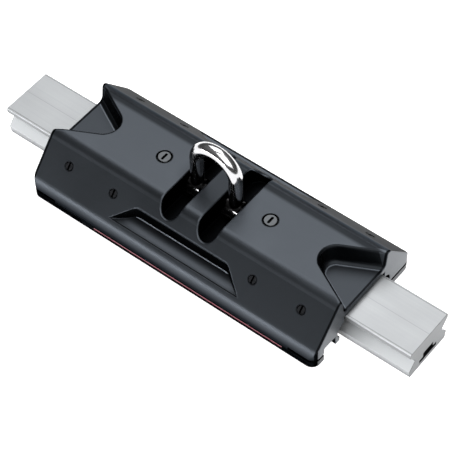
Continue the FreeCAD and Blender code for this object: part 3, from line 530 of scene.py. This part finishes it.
def shelter(material, reach, open_above=0.95, full_below=0.45):
    """How deep a point lies between its neighbours: 0 in the open and 1 in a slot."""
    around = add_node(material, "ShaderNodeAmbientOcclusion", samples=SEARCH_RAYS)
    around.inputs["Distance"].default_value = reach
    return map_range(material, around.outputs["AO"], (open_above, full_below))


# Features of the carriage

def in_bail_slots(material, place):
    """1 on the walls and floors of the four slots that the bail's legs swing in."""
    wall = between(material, place.tilt, *SLOT_WALL_TILT)
    floor = below(material, place.height, SLOT_FLOOR)
    return overlap(material, between(material, place.along, *SLOT_ALONG),
                   below(material, place.across, SLOT_REACH),
                   above(material, place.height, SLOT_BOTTOM),
                   math_node(material, "MAXIMUM", wall, floor))


def on_saddle(material, place):
    """1 on the deck between the slots, fading outwards."""
    return overlap(material, map_range(material, place.across, SADDLE_FADE),
                   below(material, place.along, SADDLE_HALF_LENGTH))


def on_facets(material, place):
    """1 on the sloping facet of each side."""
    return overlap(material, between(material, place.tilt, *FACET_TILT),
                   above(material, place.across, FACET_START))


def on_skirt(material, place):
    """1 at the foot of each side's skirt, fading upwards."""
    return overlap(material, map_range(material, place.height, SKIRT_FADE),
                   above(material, place.across, SKIRT_START))


def round_facet_screws(material, place):
    """1 close round each small screw of the facets, where the counterbore is open."""
    here = add_node(material, "ShaderNodeCombineXYZ")
    for socket, value in zip(here.inputs, (place.along, place.across, place.height)):
        link(material, value, socket)
    rings = 0.0
    for screw in FACET_SCREWS:
        gap = add_node(material, "ShaderNodeVectorMath", operation="DISTANCE")
        link(material, here.outputs["Vector"], gap.inputs[0])
        gap.inputs[1].default_value = screw
        ring = below(material, gap.outputs["Value"], RING_RADIUS)
        rings = math_node(material, "MAXIMUM", ring, rings)
    return rings


def in_side_recess(material, place):
    """1 on the ledge and the hollow floor of the recess in each side."""
    return overlap(material, between(material, place.across, *RECESS_ACROSS),
                   between(material, place.height, *RECESS_HEIGHT),
                   below(material, place.along, RECESS_HALF_LENGTH))


def on_recess_walls(material, place):
    """1 on the upright and slanted walls of the recess in each side."""
    return overlap(material, between(material, place.across, *RECESS_WALL_ACROSS),
                   between(material, place.height, *RECESS_WALL_HEIGHT),
                   between(material, place.tilt, *RECESS_WALL_TILT),
                   below(material, place.along, RECESS_WALL_HALF_LENGTH))


def recess_painted_light(material, colour, place):
    """Painted light in the recess: a painted highlight on the ledge, a floor painted
    from shade to light outwards and a lip in painted shade.
    """
    inner, outer = RECESS_ACROSS
    outwards = map_range(material, place.across, (inner + RECESS_FLOOR_INSET, outer))
    floor = mix_colours(material, outwards,
                        *(shade_of(colour, shade) for shade in RECESS_FLOOR_PAINTED_LIGHT))
    lip = above(material, place.across, outer - RECESS_LIP_WIDTH)
    ledge = below(material, place.across, inner + RECESS_LEDGE_WIDTH)
    return lay_coats(material, colour, floor,
                     ((lip, RECESS_LIP_PAINTED_SHADE), (ledge, RECESS_LEDGE_HIGHLIGHT)))


def at_plate_seams(material, place):
    """1 along the open seam over the ends of each lower plate."""
    return overlap(material, between(material, place.height, *SEAM_HEIGHT),
                   above(material, place.along, SEAM_START),
                   above(material, place.across, SEAM_INSIDE))


def far_shoulder_painted_reflection(material, place):
    """Coats that paint a reflection on the far shoulder: painted shade in a band beside
    the far crease, and a painted highlight on the crease.
    """
    off_facet = overlap(material, above(material, place.tilt, SHOULDER_TILT),
                        below(material, place.far, FACET_START))
    return [(overlap(material, map_range(material, place.far, fade), off_facet), shade)
            for fade, shade in SHOULDER_PAINTED_REFLECTION]


def scoop_painted_light(material, place):
    """Painted light for the end scoops: painted shade that makes their floors a little
    darker and their walls nearly black between the rounded rim and a painted highlight
    along the foot."""
    inside = overlap(material, above(material, place.along, SCOOP_START),
                     below(material, place.across, SCOOP_HALF_WIDTH))
    return [(overlap(material, inside, between(material, place.tilt, *tilts),
                     between(material, place.height, *heights)), shade)
            for heights, tilts, shade in SCOOP_PAINTED_PATCHES]


# Materials

def anodised_material(name, colour, settings, end):
    """Blasted and anodised aluminium: fine grain, faint clouds and round edges, lighter
    with wear and a painted highlight.

    Past the given end it is faced, keeps its full shine and is made lighter with
    painted light. Slots, scoops, recesses and counterbores have painted shade and
    painted highlights by their places."""
    material, shader = new_material(name, colour, settings.roughness, metallic=1.0)
    place = place_on_object(material)
    faced = above(material, place.along, end)
    slots = in_bail_slots(material, place)
    rings = round_facet_screws(material, place)
    recess_walls = on_recess_walls(material, place)
    # The faced ends keep their full shine; the counterbore rings, the recess walls and
    # the slots lose most of it as part of their painted shade
    shine = lay_coats(material, (1.0, 1.0, 1.0), grey(settings.rim_shine), (
        (faced, END_SHINE),
        (rings, RING_SHINE),
        (recess_walls, RECESS_WALL_SHINE),
        (slots, SLOT_SHINE),
    ))
    link(material, shine, shader.inputs["Specular Tint"])

    clouds = noise(material, size=45 * MILLIMETRE, detail=4)
    grain = noise(material, size=settings.grain, detail=2)
    drawn = noise(material, size=0.8 * MILLIMETRE, detail=3, stretch=(0.04, 1, 1))
    normal, edge = soft_edges(material, settings.edge)
    skin = varied(material, colour, clouds, *SKIN_SHADES)
    # Painted shade and painted highlights laid by place over the skin, together with
    # the real clouds and the worn edges
    skin = lay_coats(material, colour, skin, (
        (on_facets(material, place), FACET_PAINTED_SHADE),
        (shelter(material, SHELTER_REACH), SHELTER_PAINTED_SHADE),
        *far_shoulder_painted_reflection(material, place),
        (math_node(material, "MULTIPLY", edge, WORN_AND_HIGHLIGHT_SHARE), WORN_AND_HIGHLIGHT_SHADE),
        (rings, RING_PAINTED_SHADE),
        (on_saddle(material, place), SADDLE_PAINTED_SHADE),
        (on_skirt(material, place), SKIRT_PAINTED_SHADE),
        *scoop_painted_light(material, place),
        (in_side_recess(material, place), recess_painted_light(material, colour, place)),
        (recess_walls, RECESS_WALL_PAINTED_SHADE),
        (between(material, place.along, end - END_LINE_WIDTH, end), END_LINE_PAINTED_SHADE),
        (faced, END_PAINTED_LIGHT),
        (at_plate_seams(material, place), SEAM_PAINTED_SHADE),
        (slots, SLOT_PAINTED_SHADE),
    ))
    link(material, skin, shader.inputs["Base Color"])
    streaks = math_node(material, "ADD", clouds,
                        math_node(material, "MULTIPLY", drawn, SKIN_STREAKS))
    vary_roughness(material, shader, streaks, settings.roughness, less=0.05, more=0.03)
    bump(material, shader, grain, depth=0.02 * MILLIMETRE, strength=0.5, normal=normal)
    return material


def scribed_lines(material, place, top, width):
    """The scribed lines on the rail's top: one in the middle and one at each side."""
    half = width / 2
    middle = math_node(material, "MULTIPLY", RAIL_MIDDLE_LINE_SHARE,
                       between(material, place.across, -half, half))
    side = between(material, place.across, RAIL_SIDE_LINE - half, RAIL_SIDE_LINE + half)
    return overlap(material, above(material, place.height, top - RAIL_TOP_DEPTH),
                   math_node(material, "ADD", middle, side))


def rail_material(settings):
    """Clear anodised extrusion: lines of the die along it, and scribed lines on top."""
    colour = settings.colour[:]
    material, shader = new_material("clear_anodised_rail", colour, settings.roughness,
                                    metallic=1.0)
    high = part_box("track_rail")[1]
    place = place_on_object(material)
    die = noise(material, size=0.9 * MILLIMETRE, detail=5, stretch=(0.01, 1, 1))
    clouds = noise(material, size=30 * MILLIMETRE, detail=3)
    grain = noise(material, size=0.3 * MILLIMETRE, detail=2)
    lines = scribed_lines(material, place, high.z, settings.line_width)
    normal, _ = soft_edges(material, radius=0.3 * MILLIMETRE)
    hollow = overlap(material, between(material, place.height, *RAIL_HOLLOW_HEIGHT),
                     below(material, place.across, RAIL_HOLLOW_HALF_WIDTH))
    sheltered = shelter(material, SHELTER_REACH, open_above=0.6, full_below=0.3)
    skin = varied(material, colour, clouds, *RAIL_SHADES)
    # Painted shade on the upright sides, sheltered corners, hollow and cut ends, and
    # painted light on the slopes, over the real die lines and scribed lines
    skin = lay_coats(material, colour, skin, (
        (spread(material, die, 0, RAIL_DIE_SHARE), RAIL_DIE_SHADE),
        (between(material, place.tilt, *RAIL_UPRIGHT_TILT), RAIL_UPRIGHT_PAINTED_SHADE),
        (between(material, place.tilt, *RAIL_SLOPE_TILT), RAIL_SLOPE_PAINTED_LIGHT),
        (math_node(material, "MULTIPLY", lines, RAIL_LINE_SHARE), RAIL_LINE_SHADE),
        (sheltered, RAIL_SHELTER_PAINTED_SHADE),
        (hollow, RAIL_HOLLOW_PAINTED_SHADE),
        (above(material, place.along, high.x - RAIL_END_DEPTH), RAIL_END_PAINTED_SHADE),
    ))
    link(material, skin, shader.inputs["Base Color"])
    vary_roughness(material, shader, die, settings.roughness, less=0.01, more=0.02)
    ridges = math_node(material, "ADD",
                       math_node(material, "MULTIPLY", die, RAIL_DIE_RELIEF),
                       math_node(material, "MULTIPLY", grain, RAIL_GRAIN_RELIEF))
    relief = math_node(material, "SUBTRACT", ridges, lines)
    bump(material, shader, relief, depth=0.02 * MILLIMETRE, strength=0.4, normal=normal)
    return material


def polished_material(settings):
    """Polished stainless steel with faint buffing lines; the bail's eyes have painted
    shade.
    """
    colour = settings.colour[:]
    material, shader = new_material("polished_steel", colour, settings.roughness,
                                    metallic=1.0)
    buffing = noise(material, size=0.5 * MILLIMETRE, detail=4, stretch=(1, 1, 0.06))
    scuffs = noise(material, size=3 * MILLIMETRE, detail=5)
    eyes = overlap(material,
                   map_range(material, coordinate(material, "Object", "Z"), EYE_SINK),
                   map_range(material, coordinate(material, "Object", "Y"), EYE_BACK))
    skin = varied(material, colour, scuffs, dark=0.93, light=1.05)
    skin = lay_coats(material, colour, skin, ((eyes, EYE_PAINTED_SHADE),))
    link(material, skin, shader.inputs["Base Color"])
    vary_roughness(material, shader, scuffs, settings.roughness, less=0.04, more=0.06)
    bump(material, shader, buffing, depth=0.004 * MILLIMETRE, strength=0.4)
    return material


def screw_material(name, colour, edge_shade, shine):
    """Blackened steel, turned on the head and rubbed at the edges of its driver, with
    painted shade in the driver.
    """
    material, shader = new_material(name, colour, SCREW_ROUGHNESS, metallic=1.0)
    shader.inputs["Specular Tint"].default_value = grey(shine)
    turned = noise(material, size=0.4 * MILLIMETRE, detail=4)
    normal, edge = soft_edges(material, radius=0.2 * MILLIMETRE)
    driver = shelter(material, reach=2.5 * MILLIMETRE, open_above=0.9, full_below=0.6)
    skin = varied(material, colour, turned, *SCREW_SHADES)
    skin = lay_coats(material, colour, skin, (
        (math_node(material, "MULTIPLY", edge, SCREW_RUBBED_SHARE), edge_shade),
        (driver, SCREW_DRIVER_PAINTED_SHADE),
    ))
    link(material, skin, shader.inputs["Base Color"])
    vary_roughness(material, shader, turned, SCREW_ROUGHNESS, less=0.06, more=0.08)
    bump(material, shader, turned, depth=0.01 * MILLIMETRE, strength=0.4, normal=normal)
    return material


def plastic_material(name, colour, roughness):
    """Moulded acetal: a slightly waxy skin with a fine orange peel."""
    material, shader = new_material(name, colour, roughness, metallic=0.0)
    peel = noise(material, size=0.6 * MILLIMETRE, detail=3)
    flow = noise(material, size=8 * MILLIMETRE, detail=4)
    skin = varied(material, colour, flow, dark=0.88, light=1.1)
    link(material, skin, shader.inputs["Base Color"])
    vary_roughness(material, shader, flow, roughness, less=0.05, more=0.06)
    bump(material, shader, peel, depth=0.015 * MILLIMETRE, strength=0.4)
    return material


def enamel_material(settings, middle):
    """Wiped-in enamel: a thin, uneven red with a pale line of painted highlight along
    its middle.
    """
    colour = settings.colour[:]
    material, shader = new_material("red_enamel", colour, ENAMEL_ROUGHNESS,
                                    metallic=0.0)
    half = settings.height * ENAMEL_HIGHLIGHT_HALF
    line = between(material, coordinate(material, "Object", "Z"),
                   middle - half, middle + half)
    brushed = noise(material, size=0.6 * MILLIMETRE, detail=3, stretch=(0.2, 1, 1))
    thin = noise(material, size=4 * MILLIMETRE, detail=3)
    skin = varied(material, colour, thin, dark=0.8, light=1.15)
    lined = mix_colours(material, line, skin, (*settings.highlight_line_colour[:], 1))
    link(material, lined, shader.inputs["Base Color"])
    vary_roughness(material, shader, brushed, ENAMEL_ROUGHNESS, less=0.06, more=0.06)
    bump(material, shader, brushed, depth=0.01 * MILLIMETRE, strength=0.4)
    return material


# Pieces

def dress(names, material):
    """Give the material to each of the CAD's nodes."""
    for name in names:
        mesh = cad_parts[name].data
        mesh.materials.clear()
        mesh.materials.append(material)


def new_piece(name, shape, material, body):
    """An object from a finished bmesh, riding on a body of the frame."""
    mesh = bpy.data.meshes.new(name)
    shape.to_mesh(mesh)
    shape.free()
    for face in mesh.polygons:
        face.use_smooth = True
    mesh.materials.append(material)
    piece = bpy.data.objects.new(name, mesh)
    bpy.context.scene.collection.objects.link(piece)
    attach(piece, body)
    return piece


# Operators

class TRACKCAR_OT_body_finish(bpy.types.Operator):
    """Anodise the carriage, its lower plates and the race strips"""

    bl_idname = "trackcar.body_finish"
    bl_label = "Carriage finish"

    strip_shade = 0.8
    # Further out than the strips reach, so that none of their ends is faced
    beyond_strips = 1.0

    def execute(self, context):
        settings = context.scene.trackcar_body
        colour = settings.colour[:]
        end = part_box("car_body")[1].x - END_DEPTH
        plate = shade_of(colour, settings.plate_shade)[:3]
        strip = shade_of(colour, self.strip_shade)[:3]
        for nodes, name, tone, faced_end in (
                (["car_body"], "black_anodised", colour, end),
                (PLATE_NODES, "deep_black_anodised", plate, end),
                (STRIP_NODES, "hard_anodised", strip, self.beyond_strips)):
            dress(nodes, anodised_material(name, tone, settings, faced_end))
        return {"FINISHED"}


class TRACKCAR_OT_rail_finish(bpy.types.Operator):
    """Give the rail its drawn and clear anodised skin"""

    bl_idname = "trackcar.rail_finish"
    bl_label = "Rail finish"

    def execute(self, context):
        dress(["track_rail"], rail_material(context.scene.trackcar_rail))
        return {"FINISHED"}


class TRACKCAR_OT_steel_finish(bpy.types.Operator):
    """Polish the bail and its pin, and blacken the screws"""

    bl_idname = "trackcar.steel_finish"
    bl_label = "Steel finish"

    def execute(self, context):
        settings = context.scene.trackcar_steel
        dress(["bail", "bail_pin"], polished_material(settings))
        dress(PIN_SCREW_NODES, screw_material(
            "grey_screws", settings.pin_screw_colour[:], edge_shade=2.2, shine=0.2))
        dress(SMALL_SCREW_NODES, screw_material(
            "black_screws", settings.screw_colour[:], edge_shade=1.0, shine=0.03))
        return {"FINISHED"}


class TRACKCAR_OT_pinstripes(bpy.types.Operator):
    """Lay the enamel pinstripe in the rebate of each lower plate"""

    bl_idname = "trackcar.pinstripes"
    bl_label = "Pinstripes"

    # From the plate's left end, right end, top and side to the stripe
    bare_end = 43.0 * MILLIMETRE
    long_end = 20.0 * MILLIMETRE
    below_top = 1.5 * MILLIMETRE
    rebate_depth = 0.4 * MILLIMETRE
    # Shares of the thickness that each ring of the bar stands out, and of the margin
    # that it draws in
    crown = ((0.0, 0.0), (0.7, 0.0), (0.92, 0.35), (1.0, 0.8))
    crown_margin = 0.12 * MILLIMETRE
    end_steps = 8

    def execute(self, context):
        settings = context.scene.trackcar_stripe
        low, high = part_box("race_plate_near")
        middle = high.z - self.below_top
        enamel = enamel_material(settings, middle)
        start, stop = low.x + self.bare_end, high.x - self.long_end
        back = low.y + self.rebate_depth
        for name, turn in (("pinstripe_near", 0.0), ("pinstripe_far", math.pi)):
            shape = self.enamel_bar(start, stop, back, middle, settings)
            bmesh.ops.transform(shape, matrix=Matrix.Rotation(turn, 4, "Z"),
                                verts=shape.verts)
            new_piece(name, shape, enamel, CAR_BODY)
        return {"FINISHED"}

    def enamel_bar(self, start, stop, back, middle, settings):
        """A bar with round ends whose face is softly crowned."""
        shape = bmesh.new()
        loops = []
        for depth, inset in self.crown:
            half = settings.height / 2 - inset * self.crown_margin
            y = back - depth * settings.thickness
            loops.append([shape.verts.new((x, y, middle + z))
                          for x, z in self.stadium(start + half, stop - half, half)])
        for outer, inner in zip(loops, loops[1:]):
            for index, corner in enumerate(outer):
                after = (index + 1) % len(outer)
                shape.faces.new((corner, outer[after], inner[after], inner[index]))
        shape.faces.new(loops[-1])
        shape.faces.new(list(reversed(loops[0])))
        bmesh.ops.recalc_face_normals(shape, faces=shape.faces)
        return shape

    def stadium(self, left, right, half):
        """The points round a flat bar whose ends are half circles."""
        points = []
        for centre, begin in ((right, -math.pi / 2), (left, math.pi / 2)):
            for step in range(self.end_steps + 1):
                turn = begin + math.pi * step / self.end_steps
                points.append((centre + half * math.cos(turn), half * math.sin(turn)))
        return points


class TRACKCAR_OT_balls(bpy.types.Operator):
    """Put a smooth ball in each place of the ball rows, and mould the turn guides"""

    bl_idname = "trackcar.balls"
    bl_label = "Balls and turn guides"

    ball_roughness = 0.32
    guide_roughness = 0.5
    weld_distance = 0.02 * MILLIMETRE

    def execute(self, context):
        settings = context.scene.trackcar_balls
        white = plastic_material("ball_plastic", settings.colour[:],
                                 self.ball_roughness)
        dress(GUIDE_NODES, plastic_material("guide_plastic", settings.guide_colour[:],
                                            self.guide_roughness))
        for side in ("near", "far"):
            node = "ball_train_" + side
            dress([node], white)
            shape = bmesh.new()
            for centre in self.ball_centres(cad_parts[node]):
                bmesh.ops.create_uvsphere(
                    shape, u_segments=settings.segments,
                    v_segments=settings.segments // 2,
                    radius=settings.diameter / 2, matrix=Matrix.Translation(centre))
            balls = new_piece("balls_" + side, shape, white, CAR_BODY)
            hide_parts(node)
        return {"FINISHED"}

    def ball_centres(self, node):
        """The middles of the separate solids of a ball row, in a fixed order."""
        shape = bmesh.new()
        shape.from_mesh(node.data)
        bmesh.ops.remove_doubles(shape, verts=shape.verts, dist=self.weld_distance)
        waiting = set(shape.verts)
        centres = []
        while waiting:
            group = {waiting.pop()}
            newest = set(group)
            while newest:
                newest = {edge.other_vert(vert) for vert in newest
                          for edge in vert.link_edges} - group
                group |= newest
            waiting -= group
            corners = [vert.co for vert in group]
            low, high = (Vector(limit(corner[axis] for corner in corners)
                                for axis in range(3)) for limit in (min, max))
            centres.append((low + high) / 2)
        shape.free()
        return sorted(centres, key=lambda centre: centre[:])


class TRACKCAR_OT_stage(bpy.types.Operator):
    """Set the pale floor, the soft lights and the camera"""

    bl_idname = "trackcar.stage"
    bl_label = "Stage"

    floor_half = 3.0
    floor_drop = 0.2 * MILLIMETRE
    floor_roughness = 0.85
    # The name, the place, the width and depth in metres and the power in watts
    panels = (
        ("overhead", (-0.5, 0.66, 1.6), (1.6, 1.6), 22),
        ("front_strip", (-0.5, -1.15, 0.07), (1.6, 0.11), 8),
        ("overhead_right", (0.7, -0.5, 1.35), (1.8, 1.8), 26),
    )
    top_of_walls = math.radians(18)
    edge_of_ceiling = math.radians(50)
    # The camera's sensor in millimetres, and the nearest that it sees in metres
    sensor_width = 36
    clip_start = 0.05

    def execute(self, context):
        settings = context.scene.trackcar_stage
        self.add_floor(context, settings)
        context.scene.world = self.room(settings)
        context.scene.view_settings.view_transform = "Standard"
        for panel in self.panels:
            self.add_panel(context, *panel)
        self.add_camera(context, settings)
        return {"FINISHED"}

    def add_floor(self, context, settings):
        """A floor that glows as a light table does."""
        colour = settings.floor_colour[:]
        material, shader = new_material("pale_floor", colour, self.floor_roughness,
                                        metallic=0.0)
        shader.inputs["Emission Color"].default_value = (*colour, 1)
        shader.inputs["Emission Strength"].default_value = settings.floor_glow
        shape = bmesh.new()
        bmesh.ops.create_grid(shape, x_segments=2, y_segments=2, size=self.floor_half)
        mesh = bpy.data.meshes.new("floor")
        shape.to_mesh(mesh)
        shape.free()
        mesh.materials.append(material)
        floor = bpy.data.objects.new("floor", mesh)
        floor.location.z = -self.floor_drop
        context.scene.collection.objects.link(floor)

    def room(self, settings):
        """A plain room that grows lighter from the walls to the ceiling."""
        world = bpy.data.worlds.new("studio")
        world.use_nodes = True
        background = world.node_tree.nodes["Background"]
        background.inputs["Color"].default_value = grey(1.0)
        heights = math.sin(self.top_of_walls), math.sin(self.edge_of_ceiling)
        brightness = map_range(world, coordinate(world, "Generated", "Z"), heights,
                               (settings.walls, settings.ceiling))
        link(world, brightness, background.inputs["Strength"])
        return world

    def add_panel(self, context, name, place, extent, power):
        """A soft light that looks at the object and stays out of the camera's view."""
        light = bpy.data.lights.new(name, "AREA")
        light.shape = "RECTANGLE"
        light.size, light.size_y = extent
        light.energy = power
        panel = bpy.data.objects.new(name, light)
        panel.location = place
        panel.rotation_mode = "QUATERNION"
        panel.rotation_quaternion = (-Vector(place)).to_track_quat("-Z", "Y")
        panel.visible_camera = False
        context.scene.collection.objects.link(panel)

    def add_camera(self, context, settings):
        """The camera at the photograph's angle, leaning by its roll."""
        data = bpy.data.cameras.new("camera")
        data.lens = settings.lens
        data.sensor_width = self.sensor_width
        data.clip_start = self.clip_start
        camera = bpy.data.objects.new("camera", data)
        turn, rise = settings.azimuth, settings.elevation
        back = Vector((math.sin(turn) * math.cos(rise),
                       -math.cos(turn) * math.cos(rise), math.sin(rise)))
        camera.location = Vector(settings.target) + back * settings.distance
        camera.rotation_mode = "QUATERNION"
        level = (-back).to_track_quat("-Z", "Y")
        camera.rotation_quaternion = level @ Quaternion((0, 0, 1), settings.roll)
        context.scene.collection.objects.link(camera)
        context.scene.camera = camera


class TRACKCAR_PT_looks(bpy.types.Panel):
    """The finishes of the track car and its stage"""

    bl_idname = "TRACKCAR_PT_looks"
    bl_label = "Track Car"
    bl_space_type = "VIEW_3D"
    bl_region_type = "UI"
    bl_category = "Track Car"

    def draw(self, context):
        for operator, name, _ in STEPS:
            box = self.layout.box()
            box.operator(operator.bl_idname)
            settings = getattr(context.scene, name)
            for key in settings.__annotations__:
                box.prop(settings, key)


# Each operator, with the name and the group of its settings
STEPS = [
    (TRACKCAR_OT_body_finish, "trackcar_body", BodySettings),
    (TRACKCAR_OT_rail_finish, "trackcar_rail", RailSettings),
    (TRACKCAR_OT_steel_finish, "trackcar_steel", SteelSettings),
    (TRACKCAR_OT_pinstripes, "trackcar_stripe", StripeSettings),
    (TRACKCAR_OT_balls, "trackcar_balls", BallSettings),
    (TRACKCAR_OT_stage, "trackcar_stage", StageSettings),
]
CLASSES = [*(group for _, _, group in STEPS), *(operator for operator, _, _ in STEPS),
           TRACKCAR_PT_looks]


def register():
    for one in CLASSES:
        bpy.utils.register_class(one)
    for _, name, group in STEPS:
        setattr(bpy.types.Scene, name, PointerProperty(type=group))


def unregister():
    for _, name, _ in STEPS:
        delattr(bpy.types.Scene, name)
    for one in reversed(CLASSES):
        bpy.utils.unregister_class(one)


def main():
    register()
    bpy.ops.trackcar.body_finish()
    bpy.ops.trackcar.rail_finish()
    bpy.ops.trackcar.steel_finish()
    bpy.ops.trackcar.pinstripes()
    bpy.ops.trackcar.balls()
    bpy.ops.trackcar.stage()


if __name__ == "__main__":
    main()
